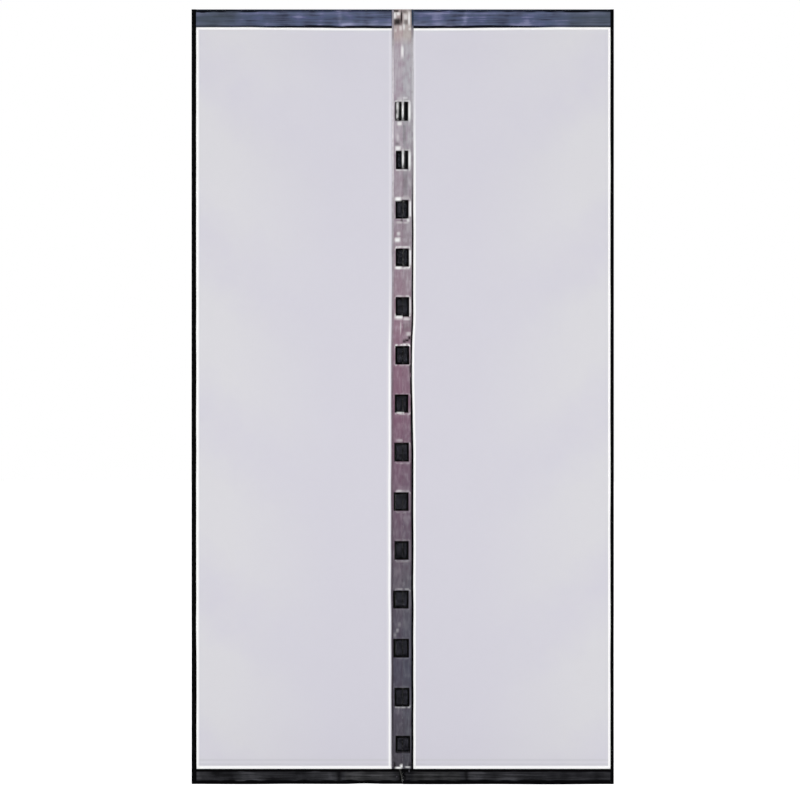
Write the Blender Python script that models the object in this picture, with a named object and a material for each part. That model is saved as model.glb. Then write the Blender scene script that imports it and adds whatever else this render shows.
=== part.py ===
"""Magnetic door curtain: two halves of frosted film that hang from a cloth header and close
along a clear sleeve of bar magnets.

Lengths are in metres, +Z is up, -Y faces the viewer and +X is the viewer's right. The origin is
the middle of the adhesive face of the hook tape, which sticks to the lintel. Each half is drawn
from an empty at the top of the closing line, in the middle plane of its film. There u is the
distance out from the closing line, depth is the distance behind the film's middle plane, and
z runs down from 0 at the top edge.
"""

import math

import bmesh
import bpy

# The whole curtain
curtain_width = 1.200
curtain_height = 2.200
seam_gap = 0.0006
clearance = 0.0003

# Frosted film panels, with the shallow swags in which the film hangs
film_thickness = 0.0004
swag_depth = 0.004
swag_pitch = 0.493
swag_droop = 0.285
top_swag_drop = 0.375
swag_fade = 0.120
flat_margin = 0.012
film_columns = 9
film_rows = 37

# Header band, a cloth strip folded over the top edge of the film
header_height = 0.050
header_leaf = 0.0007

# Loop tape on the back of the header, and the hook tape that holds it to the lintel
loop_height = 0.025
loop_thickness = 0.0012
hook_height = 0.025
hook_thickness = 0.0012
tape_end_inset = 0.004

# Side binding, a narrow tape folded over the outer edge
binding_width = 0.010
binding_leaf = 0.0006
binding_ease = 0.006

# Bottom hem, a cloth strip folded round the weight bar
hem_height = 0.042
hem_leaf = 0.0007
hem_taper = 0.006
hem_ease = 0.005
weight_height = 0.012
weight_thickness = 0.003
weight_corner = 0.0009
weight_end_inset = 0.015

# Magnet sleeve, clear film folded lengthwise with its fold on the closing line
sleeve_film = 0.0003
sleeve_ramp = 0.003
sleeve_flat = 0.0028

# Seam tapes, which cover the lap of sleeve and film on both faces
seam_tape_width = 0.006
seam_tape_thickness = 0.0005
seam_tape_overhang = 0.001

# Bar magnets, one column in each sleeve
magnet_width = 0.0185
magnet_thickness = 0.003
magnet_length = 0.049
magnet_bevel = 0.0004
magnet_count = 14
top_magnet_drop = 0.289
low_magnet_rise = 0.107

# Folds
fold_radius = 0.0003
fold_steps = 3
largest_fold_share = 0.9

# Distances out from the closing line
half_width = curtain_width / 2
magnet_inner = seam_gap / 2 + sleeve_film + clearance
magnet_outer = magnet_inner + magnet_width
ramp_outer = magnet_outer + clearance + sleeve_ramp
strip_half = ramp_outer + sleeve_flat + seam_tape_width
film_inner = strip_half - seam_tape_width + seam_tape_overhang
film_outer = half_width - binding_leaf - clearance
header_inner = strip_half + clearance
hem_inner = seam_gap / 2
sleeve_outer = strip_half - seam_tape_overhang
panel_inner = strip_half + flat_margin
panel_outer = half_width - binding_width - flat_margin

# Half thicknesses of the layers, each counted from the film's middle plane
film_half = film_thickness / 2
film_room = film_half + clearance
header_half = film_room + header_leaf
sleeve_half = film_room + sleeve_film
magnet_room = magnet_thickness / 2 + clearance
weight_room = weight_thickness / 2 + clearance
sleeve_mouth_room = sleeve_half + clearance

# Depths behind the film's middle plane, and heights from the top edge
loop_front = header_half + clearance
hook_front = loop_front + loop_thickness + clearance
lintel_depth = hook_front + hook_thickness
bottom = -curtain_height
hem_top = bottom + hem_height
header_bottom = -header_height
tape_middle = -header_height / 2
weight_bottom = bottom + hem_leaf + clearance
pocket_top = weight_bottom + weight_height + clearance
film_top = -header_leaf - clearance
film_bottom = pocket_top
panel_low = hem_top + flat_margin
panel_high = header_bottom - flat_margin


def clear_scene():
    """Removes whatever the file opened with."""
    for obj in list(bpy.data.objects):
        bpy.data.objects.remove(obj)


def material(name, colour, roughness, metallic=0.0, alpha=1.0):
    """A plain Principled BSDF, with its colour given as linear red, green and blue."""
    made = bpy.data.materials.new(name)
    made.use_nodes = True
    shader = made.node_tree.nodes["Principled BSDF"]
    shader.inputs["Base Color"].default_value = (*colour, 1.0)
    shader.inputs["Roughness"].default_value = roughness
    shader.inputs["Metallic"].default_value = metallic
    shader.inputs["Alpha"].default_value = alpha
    return made


def spread(first, last, count):
    """Evenly spaced values from first to last."""
    return [first + (last - first) * i / (count - 1) for i in range(count)]


def smooth_step(share):
    """Eases from 0 to 1 as share goes from 0 to 1, and stays flat outside that."""
    share = min(1.0, max(0.0, share))
    return share * share * (3 - 2 * share)


def place(name, mesh, parent, finish, location=(0, 0, 0)):
    """Puts a mesh in the scene as a named sub-part of one half, or of the whole curtain."""
    obj = bpy.data.objects.new(name, mesh)
    bpy.context.scene.collection.objects.link(obj)
    obj.parent = parent
    obj.location = location
    if not mesh.materials:
        mesh.materials.append(finish)
    return obj


def loft(name, sections, parent, finish):
    """Skins a row of closed sections that have equally many points, and caps both ends."""
    shell = bmesh.new()
    rings = [[shell.verts.new(point) for point in section] for section in sections]
    for ring, following in zip(rings, rings[1:]):
        for i, corner in enumerate(ring):
            j = (i + 1) % len(ring)
            shell.faces.new((corner, ring[j], following[j], following[i]))
    shell.faces.new(rings[0])
    shell.faces.new(rings[-1])
    bmesh.ops.recalc_face_normals(shell, faces=shell.faces)
    mesh = bpy.data.meshes.new(name)
    shell.to_mesh(mesh)
    shell.free()
    return place(name, mesh, parent, finish)


def block_mesh(name, width, thickness, height, bevel):
    """A bar centred on its own origin, with its edges bevelled."""
    bar = bmesh.new()
    bmesh.ops.create_cube(bar, size=1.0)
    bmesh.ops.scale(bar, vec=(width, thickness, height), verts=bar.verts)
    bmesh.ops.bevel(bar, geom=bar.edges[:], offset=bevel, segments=1, affect="EDGES")
    mesh = bpy.data.meshes.new(name)
    bar.to_mesh(mesh)
    bar.free()
    return mesh


def slab(name, u_range, depth_range, z_range, side, parent, finish):
    """A flat tape between two distances out, two depths and two heights of one half."""
    (u_near, u_far), (low, high) = u_range, z_range
    corners = [(u_near, low), (u_far, low), (u_far, high), (u_near, high)]
    sections = [[(side * u, depth, z) for u, z in corners] for depth in depth_range]
    return loft(name, sections, parent, finish)


def wall_points(stations, corner, leaf, extra):
    """One side of a folded strip, mouth to fold, as (reach, half gap) pairs.

    extra is 0 for the inner wall and the leaf's thickness for the outer one. Both walls turn
    about the same centre, so the strip keeps its thickness round the fold.
    """
    centre_reach = leaf + corner
    centre_gap = stations[0][1] - corner
    radius = corner + extra
    straight = [(reach, gap + extra) for reach, gap in reversed(stations)]
    turns = spread(0, math.pi / 2, fold_steps)
    arc = [
        (centre_reach - radius * math.sin(a), centre_gap + radius * math.cos(a))
        for a in turns
    ]
    return straight + arc


def folded_section(stations, leaf, corner):
    """Outline of a strip folded in two, as (reach from the fold, depth) pairs.

    stations lists (reach, half of the gap inside) from beyond the fold to the mouth.
    """
    corner = min(corner, largest_fold_share * stations[0][1])
    walls = []
    for extra in (leaf, 0):
        front = wall_points(stations, corner, leaf, extra)
        walls.append([(r, -g) for r, g in front] + [(r, g) for r, g in reversed(front)])
    outer, inner = walls
    return outer + inner[::-1]


def swag(u, z):
    """How far the film stands forward: soft swags that droop towards the closing line and
    fade out before every sewn edge."""
    edge_distances = (u - panel_inner, panel_outer - u, z - panel_low, panel_high - z)
    fade = math.prod(smooth_step(distance / swag_fade) for distance in edge_distances)
    droop = swag_droop * (1 - (u / half_width) ** 2)
    turn = 2 * math.pi * (z + top_swag_drop + droop) / swag_pitch
    return swag_depth * fade * (0.5 + 0.5 * math.cos(turn))


def film_panel(side, name, parent, finish):
    """The frosted film of one half: a sheet on a grid, thickened about its middle plane."""
    columns = [film_inner, *spread(panel_inner, panel_outer, film_columns), film_outer]
    rows = [film_bottom, *spread(panel_low, panel_high, film_rows), film_top]
    sheet = bmesh.new()
    grid = [[sheet.verts.new((side * u, -swag(u, z), z)) for u in columns] for z in rows]
    for lower, upper in zip(grid, grid[1:]):
        for i in range(len(columns) - 1):
            sheet.faces.new((lower[i], lower[i + 1], upper[i + 1], upper[i]))
    bmesh.ops.recalc_face_normals(sheet, faces=sheet.faces)
    mesh = bpy.data.meshes.new(name)
    sheet.to_mesh(mesh)
    sheet.free()
    panel = place(name, mesh, parent, finish)
    thicken = panel.modifiers.new("Film thickness", "SOLIDIFY")
    thicken.thickness = film_thickness
    thicken.offset = 0
    mesh.shade_smooth()
    return panel


def header_band(side, name, parent, finish):
    """The cloth strip folded over the film's top edge, with its fold uppermost."""
    section = folded_section([(header_height, film_room)], header_leaf, fold_radius)
    sections = [
        [(side * u, depth, -reach) for reach, depth in section]
        for u in (header_inner, film_outer)
    ]
    return loft(name, sections, parent, finish)


def side_binding(side, name, parent, finish):
    """The tape folded over the outer edge. It opens where it passes over the hem and header."""
    hem_room = weight_room + hem_leaf + clearance
    mouth_room = film_room + hem_leaf + clearance
    header_room = header_half + clearance
    rooms = [
        (bottom, hem_room),
        (pocket_top, hem_room),
        (pocket_top + hem_taper, mouth_room),
        (hem_top + clearance, mouth_room),
        (hem_top + clearance + binding_ease, film_room),
        (header_bottom - clearance - binding_ease, film_room),
        (header_bottom - clearance, header_room),
        (0, header_room),
    ]
    sections = []
    for z, room in rooms:
        section = folded_section([(binding_width, room)], binding_leaf, fold_radius)
        sections.append([(side * (half_width - reach), depth, z) for reach, depth in section])
    return loft(name, sections, parent, finish)


def bottom_hem(side, name, parent, finish):
    """The cloth strip folded round the weight bar. Its mouth widens where the sleeve enters."""
    pocket_reach = pocket_top - bottom
    mouths = [
        (hem_inner, sleeve_mouth_room),
        (strip_half + clearance, sleeve_mouth_room),
        (strip_half + clearance + hem_ease, film_room),
        (film_outer, film_room),
    ]
    sections = []
    for u, mouth in mouths:
        stations = [
            (pocket_reach, weight_room),
            (pocket_reach + hem_taper, mouth),
            (hem_height, mouth),
        ]
        section = folded_section(stations, hem_leaf, weight_corner + clearance)
        sections.append([(side * u, depth, bottom + reach) for reach, depth in section])
    return loft(name, sections, parent, finish)


def hem_weight(side, name, parent, finish):
    """The flat steel bar in the hem, with corners that follow the fold."""
    length = film_outer - hem_inner - 2 * weight_end_inset
    corner = min(weight_corner, largest_fold_share * weight_thickness / 2)
    mesh = block_mesh(name, length, weight_thickness, weight_height, corner)
    middle = (film_outer + hem_inner) / 2
    location = (side * middle, 0, weight_bottom + weight_height / 2)
    return place(name, mesh, parent, finish, location)


def magnet_heights():
    """Height of each magnet's middle, from the top one down."""
    return spread(-top_magnet_drop, bottom + low_magnet_rise, magnet_count)


def magnet_sleeve(side, name, parent, finish):
    """Clear film folded round the magnets, pinched flat between them and open at its lap."""
    magnet_reach = magnet_outer + clearance - seam_gap / 2
    ramp_reach = ramp_outer - seam_gap / 2
    lap_reach = sleeve_outer - seam_gap / 2
    half_pocket = magnet_length / 2 + clearance
    rooms = [(0, film_room)]
    for z in magnet_heights():
        rooms += [
            (z + half_pocket + sleeve_ramp, film_room),
            (z + half_pocket, magnet_room),
            (z - half_pocket, magnet_room),
            (z - half_pocket - sleeve_ramp, film_room),
        ]
    rooms.append((film_bottom, film_room))
    sections = []
    for z, room in rooms:
        stations = [
            (magnet_reach, room),
            (ramp_reach, film_room),
            (lap_reach, film_room),
        ]
        section = folded_section(stations, sleeve_film, magnet_bevel + clearance)
        sections.append([(side * (seam_gap / 2 + r), depth, z) for r, depth in section])
    return loft(name, sections, parent, finish)


def seam_tape(side, face, name, parent, finish):
    """A flat tape over the lap. face is -1 for the front one and 1 for the back one."""
    near = face * (sleeve_half + clearance)
    far = near + face * seam_tape_thickness
    return slab(
        name,
        (strip_half - seam_tape_width, strip_half),
        (near, far),
        (hem_top + clearance, 0),
        side,
        parent,
        finish,
    )


def loop_tape(side, name, parent, finish):
    """The loop half of the fastening, sewn to the back of the header."""
    return slab(
        name,
        (header_inner + tape_end_inset, half_width - binding_width - tape_end_inset),
        (loop_front, loop_front + loop_thickness),
        (tape_middle - loop_height / 2, tape_middle + loop_height / 2),
        side,
        parent,
        finish,
    )


def hook_tape(name, parent, finish):
    """The self-adhesive hook half, one strip across both halves. Its back is the mount."""
    length = curtain_width - 2 * (binding_width + tape_end_inset)
    mesh = bpy.data.meshes.new(name)
    strip = bmesh.new()
    bmesh.ops.create_cube(strip, size=1.0)
    bmesh.ops.scale(strip, vec=(length, hook_thickness, hook_height), verts=strip.verts)
    strip.to_mesh(mesh)
    strip.free()
    location = (0, hook_front + hook_thickness / 2, tape_middle)
    return place(name, mesh, parent, finish, location)


def build_half(side, word, finishes):
    """One half of the curtain, hung from its own empty."""
    half = bpy.data.objects.new(f"{word}_half", None)
    bpy.context.scene.collection.objects.link(half)
    half.location = (0, -lintel_depth, -tape_middle)
    film_panel(side, f"{word}_film_panel", half, finishes["frosted_film"])
    header_band(side, f"{word}_header_band", half, finishes["header_cloth"])
    loop_tape(side, f"{word}_loop_tape", half, finishes["loop_pile"])
    side_binding(side, f"{word}_side_binding", half, finishes["binding_tape"])
    bottom_hem(side, f"{word}_bottom_hem", half, finishes["hem_cloth"])
    hem_weight(side, f"{word}_hem_weight", half, finishes["zinc_steel"])
    magnet_sleeve(side, f"{word}_magnet_sleeve", half, finishes["clear_vinyl"])
    seam_tape(side, -1, f"{word}_front_seam_tape", half, finishes["seam_ribbon"])
    seam_tape(side, 1, f"{word}_back_seam_tape", half, finishes["seam_ribbon"])
    bar = block_mesh(
        f"{word}_magnet", magnet_width, magnet_thickness, magnet_length, magnet_bevel
    )
    for number, z in enumerate(magnet_heights(), start=1):
        location = (side * (magnet_inner + magnet_outer) / 2, 0, z)
        place(f"{word}_magnet_{number:02d}", bar, half, finishes["ferrite"], location)
    return half


def make_finishes():
    """Every finish of the curtain, by name."""
    return {
        "frosted_film": material("frosted_film", (0.67, 0.66, 0.72), 0.5),
        "clear_vinyl": material("clear_vinyl", (0.26, 0.22, 0.25), 0.12, alpha=0.5),
        "header_cloth": material("header_cloth", (0.072, 0.084, 0.14), 0.8),
        "binding_tape": material("binding_tape", (0.004, 0.004, 0.005), 0.8),
        "hem_cloth": material("hem_cloth", (0.020, 0.020, 0.022), 0.8),
        "seam_ribbon": material("seam_ribbon", (0.006, 0.006, 0.008), 0.7),
        "loop_pile": material("loop_pile", (0.012, 0.012, 0.014), 0.95),
        "hook_nylon": material("hook_nylon", (0.015, 0.015, 0.017), 0.5),
        "zinc_steel": material("zinc_steel", (0.42, 0.43, 0.44), 0.45, metallic=1.0),
        "ferrite": material("ferrite", (0.016, 0.016, 0.018), 0.55),
    }


def main():
    clear_scene()
    finishes = make_finishes()
    build_half(-1, "left", finishes)
    right = build_half(1, "right", finishes)
    hook_tape("hook_tape", right, finishes["hook_nylon"])


main()
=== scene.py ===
# %% [markdown]
# # A magnetic door curtain
#
# Two halves of frosted film hang from a cloth header and meet in the middle, where bar magnets in
# a clear sleeve pull them shut. A cloth hem weights the bottom and a narrow black tape binds each
# outer edge. The solids give the true sizes. This script lays the soft surfaces over them: each
# strip of cloth or film is a grid of points worked out as whole arrays, then given its thickness.

# %% Load the frame
import math

import bpy
import numpy as np
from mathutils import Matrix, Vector


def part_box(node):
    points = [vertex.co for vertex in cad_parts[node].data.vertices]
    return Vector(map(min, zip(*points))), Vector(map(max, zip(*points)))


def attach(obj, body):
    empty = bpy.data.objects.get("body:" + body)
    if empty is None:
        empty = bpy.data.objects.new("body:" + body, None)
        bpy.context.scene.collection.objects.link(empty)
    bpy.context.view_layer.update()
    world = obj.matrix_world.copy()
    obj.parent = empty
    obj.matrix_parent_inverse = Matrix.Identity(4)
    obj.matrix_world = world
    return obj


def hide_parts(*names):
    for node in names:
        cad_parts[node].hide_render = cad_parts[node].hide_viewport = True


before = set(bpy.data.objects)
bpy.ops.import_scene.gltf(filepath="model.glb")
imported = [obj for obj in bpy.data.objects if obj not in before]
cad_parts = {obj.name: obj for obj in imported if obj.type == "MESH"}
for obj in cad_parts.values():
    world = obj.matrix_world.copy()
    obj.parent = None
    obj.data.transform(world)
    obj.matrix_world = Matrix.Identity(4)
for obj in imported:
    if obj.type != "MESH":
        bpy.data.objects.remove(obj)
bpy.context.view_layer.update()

# %% [markdown]
# ## Measures
#
# Everything is drawn for one half and mirrored by the sign of x. Three distances place a point:
# u, how far it is out from the closing line, depth, how far behind the film's middle plane, and z.
# They are read from the boxes of the solids, so a surface always fits the piece that it covers.

# %% Measures from the frame
MM = 0.001


def low_high(node, axis):
    """Lowest and highest coordinate of a solid along one axis, in metres."""
    low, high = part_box(node)
    return low[axis], high[axis]


magnet_low, magnet_high = low_high("right_magnet_01", 1)
mid_y = (magnet_low + magnet_high) / 2
film_inner, film_outer = low_high("right_film_panel", 0)
film_bottom, film_top = low_high("right_film_panel", 2)
binding_inner, half_width = low_high("right_side_binding", 0)
bottom, top = low_high("right_side_binding", 2)
header_outer = low_high("right_header_band", 0)[1]
header_bottom = low_high("right_header_band", 2)[0]
hem_inner, hem_outer = low_high("right_bottom_hem", 0)
hem_top = low_high("right_bottom_hem", 2)[1]
tape_inner, strip_edge = low_high("right_front_seam_tape", 0)
magnet_outer = low_high("right_magnet_01", 0)[1]
magnet_spans = [low_high(f"right_magnet_{number:02d}", 2) for number in range(1, 15)]
SIDES = (("left", -1), ("right", 1))
print(f"{half_width * 2:.3f} m wide, {top - bottom:.3f} m high, {len(magnet_spans)} magnets a side")

# %% Thicknesses
CLEARANCE = 0.3 * MM
FILM = 0.4 * MM
CLOTH = 0.7 * MM
BINDING = 0.6 * MM
VINYL = 0.3 * MM
SEAM_TAPE = 0.5 * MM
print(f"film {FILM / MM:.1f} mm thick, vinyl {VINYL / MM:.1f} mm, cloth {CLOTH / MM:.1f} mm")

# %% [markdown]
# ## Camera
#
# The photograph is taken square on, from far enough away that the curtain's sides stay parallel.
# A long lens at eight metres does the same. The curtain stands a few pixels off the middle of the
# frame, so the camera is moved by as much, and no lens shift is needed.

# %% Camera
FRAME_PIXELS = 800
PHOTO_LEFT, PHOTO_RIGHT = 192.05, 613.38
PHOTO_TOP, PHOTO_BOTTOM = 9.37, 783.6
CAMERA_DISTANCE = 8.0


def put_in_scene(name, data):
    """A new object that holds this camera, lamp or mesh, linked to the scene."""
    holder = bpy.data.objects.new(name, data)
    bpy.context.scene.collection.objects.link(holder)
    return holder


metres_per_pixel = (top - bottom) / (PHOTO_BOTTOM - PHOTO_TOP)
off_right = ((PHOTO_LEFT + PHOTO_RIGHT) / 2 - FRAME_PIXELS / 2) * metres_per_pixel
off_down = ((PHOTO_TOP + PHOTO_BOTTOM) / 2 - FRAME_PIXELS / 2) * metres_per_pixel
aim = Vector((-off_right, mid_y, (top + bottom) / 2 + off_down))

lens = bpy.data.cameras.new("Camera")
lens.sensor_width = 36
lens.lens = lens.sensor_width * CAMERA_DISTANCE / (FRAME_PIXELS * metres_per_pixel)
camera = put_in_scene("Camera", lens)
camera.location = aim - Vector((0, CAMERA_DISTANCE, 0))
camera.rotation_euler = (math.pi / 2, 0, 0)
bpy.context.scene.camera = camera
print(f"{metres_per_pixel / MM:.3f} mm a pixel, lens {lens.lens:.1f} mm")

# %% [markdown]
# ## Nodes and colours
#
# Colours are written as hex, the way a paint program shows them, and turned to the linear values
# that Blender reckons with. One helper adds a node, sets it up and links it. Two more do what
# many finishes share: one mixes other colours into the tone where the mesh is marked for it, real
# colours and painted shade, highlights and glints alike, and coat gives the surface its tone,
# relief and gloss.

# %% Colour and node helpers


def colour(hex_code):
    """Linear RGBA of an sRGB hex colour: a straight line in the dark tones, a power above."""
    srgb = np.array([int(hex_code[i : i + 2], 16) for i in (1, 3, 5)]) / 255
    linear = np.where(srgb <= 0.04045, srgb / 12.92, ((srgb + 0.055) / 1.055) ** 2.4)
    return (*linear.tolist(), 1.0)


def fill(tree, node, inputs):
    """Fills a node's inputs: another node's output is linked, a plain value is set."""
    for key, value in inputs.items():
        if isinstance(value, bpy.types.NodeSocket):
            tree.links.new(value, node.inputs[key])
        else:
            node.inputs[key].default_value = value


def add(tree, kind, inputs=None, stops=None, **properties):
    """Adds a shader node, sets its properties, and fills its inputs and a colour ramp's stops."""
    node = tree.nodes.new("ShaderNode" + kind)
    for name, value in properties.items():
        setattr(node, name, value)
    fill(tree, node, inputs or {})
    if stops:
        elements = node.color_ramp.elements
        while len(elements) < len(stops):
            elements.new(0.5)
        for element, (place, hex_code) in zip(elements, sorted(stops)):
            element.position = place
            element.color = colour(hex_code)
    return node


def start_material(name):
    """A new material with its tree, its Principled node and the piece's own coordinates."""
    material = bpy.data.materials.new(name)
    material.use_nodes = True
    tree = material.node_tree
    place = add(tree, "TexCoord").outputs["Object"]
    return material, tree, tree.nodes["Principled BSDF"], place


def mix_marks(tree, tone, marks):
    """Mixes a colour into the tone by the mesh's attribute of each mark, one after the other."""
    for label, hex_code in marks.items():
        share = add(tree, "Attribute", attribute_name=label)
        mixed = add(
            tree,
            "Mix",
            {"Factor": share.outputs["Fac"], "A": tone, "B": colour(hex_code)},
            data_type="RGBA",
        )
        tone = mixed.outputs["Result"]
    return tone


def coat(tree, surface, tone, height, strength, depth, roughness, gloss=0.04):
    """Gives a surface its tone, the relief of a height at some strength and depth, its roughness
    and its gloss, which is the specular level."""
    relief = add(tree, "Bump", {"Height": height, "Strength": strength, "Distance": depth})
    normal = relief.outputs["Normal"]
    fill(tree, surface, {"Base Color": tone, "Normal": normal, "Roughness": roughness})
    surface.inputs["Specular IOR Level"].default_value = gloss


print("white is", colour("#FFFFFF"))

# %% [markdown]
# ## Grids
#
# A curtain is all sheets, so one function turns a grid of points into a mesh of quads, and a
# Solidify modifier gives it thickness on both sides of that surface. A value for each point, such
# as how black its edge is, which along a fold is painted shade, is kept as an attribute that the
# material reads.

# %% Mesh helpers


def smooth(share):
    """Eases from 0 to 1: t squared times (3 - 2t), flat outside."""
    share = np.clip(share, 0, 1)
    return share * share * (3 - 2 * share)


def ridge(distance, width):
    """A soft hump of height 1 at distance 0: exp of minus (distance / width) squared."""
    return np.exp(-((distance / width) ** 2))


def ripples(a, b, grain, seed, waves=14):
    """A smooth field of about -1 to 1: the sum of sine waves of about one length, whose headings,
    lengths and phases are drawn from the seed."""
    draw = np.random.default_rng(seed)
    heading = draw.uniform(0, 2 * math.pi, waves)
    length = grain * draw.uniform(0.7, 1.5, waves)
    phase = draw.uniform(0, 2 * math.pi, waves)
    along = a[..., None] * np.cos(heading) + b[..., None] * np.sin(heading)
    return np.sin(2 * math.pi * along / length + phase).sum(-1) / math.sqrt(waves)


def mesh_of(name, points, quads, attributes=None):
    """A mesh of quads from an array of points and an array of corner numbers."""
    mesh = bpy.data.meshes.new(name)
    mesh.vertices.add(len(points))
    mesh.vertices.foreach_set("co", points.astype(np.float32).ravel())
    mesh.loops.add(quads.size)
    mesh.loops.foreach_set("vertex_index", quads.astype(np.int32).ravel())
    mesh.polygons.add(len(quads))
    mesh.polygons.foreach_set("loop_start", np.arange(0, quads.size, 4, dtype=np.int32))
    mesh.update(calc_edges=True)
    mesh.shade_smooth()
    for label, values in (attributes or {}).items():
        layer = mesh.attributes.new(label, "FLOAT", "POINT")
        layer.data.foreach_set("value", values.astype(np.float32).ravel())
    return mesh


def sheet(name, side, u, depth, z, thickness, material, attributes=None):
    """A thickened sheet from three arrays of one shape: u outwards, depth backwards and z."""
    u, depth, z = np.broadcast_arrays(u, depth, z)
    points = np.stack([side * u, mid_y + depth, z], axis=-1)
    rows, columns = u.shape
    index = np.arange(rows * columns).reshape(rows, columns)
    ring = [index[:-1, :-1], index[:-1, 1:], index[1:, 1:], index[1:, :-1]]
    quads = np.stack(ring, axis=-1).reshape(-1, 4)
    mesh = mesh_of(name, points.reshape(-1, 3), quads, attributes)
    mesh.materials.append(material)
    piece = put_in_scene(name, mesh)
    thicken = piece.modifiers.new("Thickness", "SOLIDIFY")
    thicken.thickness = thickness
    thicken.offset = 0
    return piece


def dress(piece, slot, *nodes):
    """The piece rides on the curtain's one body and stands for these solids. slot is not used."""
    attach(piece, "root")
    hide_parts(*nodes)
    triangles = 4 * len(piece.data.polygons)
    print(f"{piece.name}: about {triangles} triangles")


# %% [markdown]
# ## Folding a strip in two
#
# Header, hem, binding and sleeve are all strips folded lengthwise round an edge. Across the strip
# the distance from the fold runs from minus on the front to plus on the back. Near the fold the
# cloth turns a quarter ellipse on each side, and beyond it each leaf runs straight.

# %% Fold helpers
FOLD_STEPS = 4


def across_fold(length, corner, leaf_steps):
    """Distances across a folded strip, from the front leaf's free edge to the back one's."""
    quarter = corner * math.pi / 2
    turn = np.linspace(0, quarter, FOLD_STEPS + 1)
    leaf = np.linspace(quarter, quarter + length - corner, leaf_steps + 1)[1:]
    half = np.concatenate([turn, leaf])
    return np.concatenate([-half[:0:-1], half])


def fold(across, corner):
    """Reach from the fold line, and which leaf: from -1 in front, through 0 at the fold, to 1."""
    distance = np.abs(across)
    quarter = corner * math.pi / 2
    angle = np.clip(distance / quarter, 0, 1) * math.pi / 2
    reach = corner * (1 - np.cos(angle)) + np.maximum(distance - quarter, 0)
    return reach, np.sign(across) * np.sin(angle)


# %% [markdown]
# ## The frosted film panels
#
# The panels are soft EVA film, rolled between a smooth and a finely embossed drum, which leaves it
# pale, matt and faintly lilac. It hangs almost flat, in shallow swags that droop towards the
# closing edge, with the ghost of the creases it was packed with. A cloth simulation would only
# stretch such a taut sheet flat, so the swags are a wave written down directly. They fade out
# before each seam, where the film lies still between other layers.

# %% Film material
FILM_SHADE, FILM_LIT = "#D2D0DA", "#D7D6DB"
PALER_FROM, PALER_TO = 0.2, 0.5
film_material, tree, surface, place = start_material("embossed_eva_film")
apart = add(tree, "SeparateXYZ", {"Vector": place})
outwards = add(tree, "Math", {0: apart.outputs["X"]}, operation="ABSOLUTE")
outer_share = add(
    tree, "MapRange", {"Value": outwards.outputs[0], "From Min": PALER_FROM, "From Max": PALER_TO}
)
# A painted highlight along each swag's crest lightens the film towards its lit tone, most of all
# near the outer edge
swell = add(tree, "Attribute", attribute_name="swell")
cloud = add(tree, "TexNoise", {"Vector": place, "Scale": 14.0, "Detail": 3.0})
forward = add(tree, "Math", {0: swell.outputs["Fac"], 1: cloud.outputs["Fac"]}, operation="ADD")
paler = add(
    tree,
    "MapRange",
    {"Value": forward.outputs[0], "From Min": 0.35, "From Max": 1.2, "To Min": 0.1},
)
lit_share = add(
    tree,
    "Math",
    {0: outer_share.outputs["Result"], 1: paler.outputs["Result"]},
    operation="MULTIPLY",
)
tone = add(
    tree,
    "Mix",
    {"Factor": lit_share.outputs[0], "A": colour(FILM_SHADE), "B": colour(FILM_LIT)},
    data_type="RGBA",
)
# Painted shade along the level crease lines, and the pale pressed rims beside the seams
marked = mix_marks(tree, tone.outputs["Result"], {"crease_shade": "#CBCAD1", "pressed": "#FFFFFF"})
# Embossing of about 1.2 mm, drawn at 2.5 mm so that it shows in a picture of the whole curtain
emboss = add(tree, "TexNoise", {"Vector": place, "Scale": 400.0, "Detail": 2.0})
coat(tree, surface, marked, emboss.outputs["Fac"], 0.12, 0.4 * MM, roughness=0.55, gloss=0.3)
print("film material ready")

# %% Film shape
SWAG_MARGIN = 10 * MM
SWAG_FADE = 120 * MM
SWAG_DEPTH = 4 * MM
SWAG_PITCH = 493 * MM
SWAG_DROOP = 285 * MM
SWAG_CREST = -0.35
PACK_CREASE_U = 177 * MM
PACK_CREASE_HEIGHT = 0.25 * MM
PACK_FOLDS = 8
FILM_SLACK = 0.35 * MM
# Level crease lines above the hem, painted darker as shade, by their height over it and half width
HEM_LINES = ((25 * MM, 3 * MM), (13 * MM, 2.5 * MM))
PRESSED = 6.3 * MM
# Beside the strip the pressed rim only shows from some way down, and on the left as a fold
PRESSED_FROM = {"left": -0.65, "right": -0.15}
LEFT_FOLD_OUT = 5.6 * MM
# The header's low edge hangs a little all along, and sags most within 90 mm of the closing line
HEADER_HANG = 0.85 * MM
HEADER_SAG = 3.1 * MM
SAG_LEVEL, SAG_EASE = 90 * MM, 370 * MM
# How far the seams wander, and at what height
RIGHT_BOW, RIGHT_BOW_Z = 4.4 * MM, -1.01
LEFT_BULGE, LEFT_BULGE_Z = 0.9 * MM, -1.5
LEFT_SHIFT, LEFT_SHIFT_Z = 1.1 * MM, -0.93
# The visible edges of the strip and of the binding, which lie a little unevenly on the real one
STRIP_EDGE = {"left": 31.6 * MM, "right": 30.4 * MM}
BINDING_REACH = {"left": 13.2 * MM, "right": 9.8 * MM}


def header_sag(u):
    """How far the header's low edge hangs below the solid's: the hang, and the sag eased out."""
    return HEADER_HANG + HEADER_SAG * (1 - smooth((u - SAG_LEVEL) / SAG_EASE))


def seam_wander(side, z):
    """Sideways wander of the seam. Half way down, the right one runs 4.4 mm nearer the middle. The
    left one is 1.1 mm nearer it at the top and 0.9 mm further from it low down."""
    slow = 0.3 * MM * ripples(z, 0 * z, 150 * MM, seed=51 + side, waves=6)
    if side > 0:
        return slow - RIGHT_BOW * ridge(z - RIGHT_BOW_Z, 125 * MM)
    bulge = LEFT_BULGE * ridge(z - LEFT_BULGE_Z, 350 * MM)
    return slow + bulge - LEFT_SHIFT * smooth((z - LEFT_SHIFT_Z) / 0.12)


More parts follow.
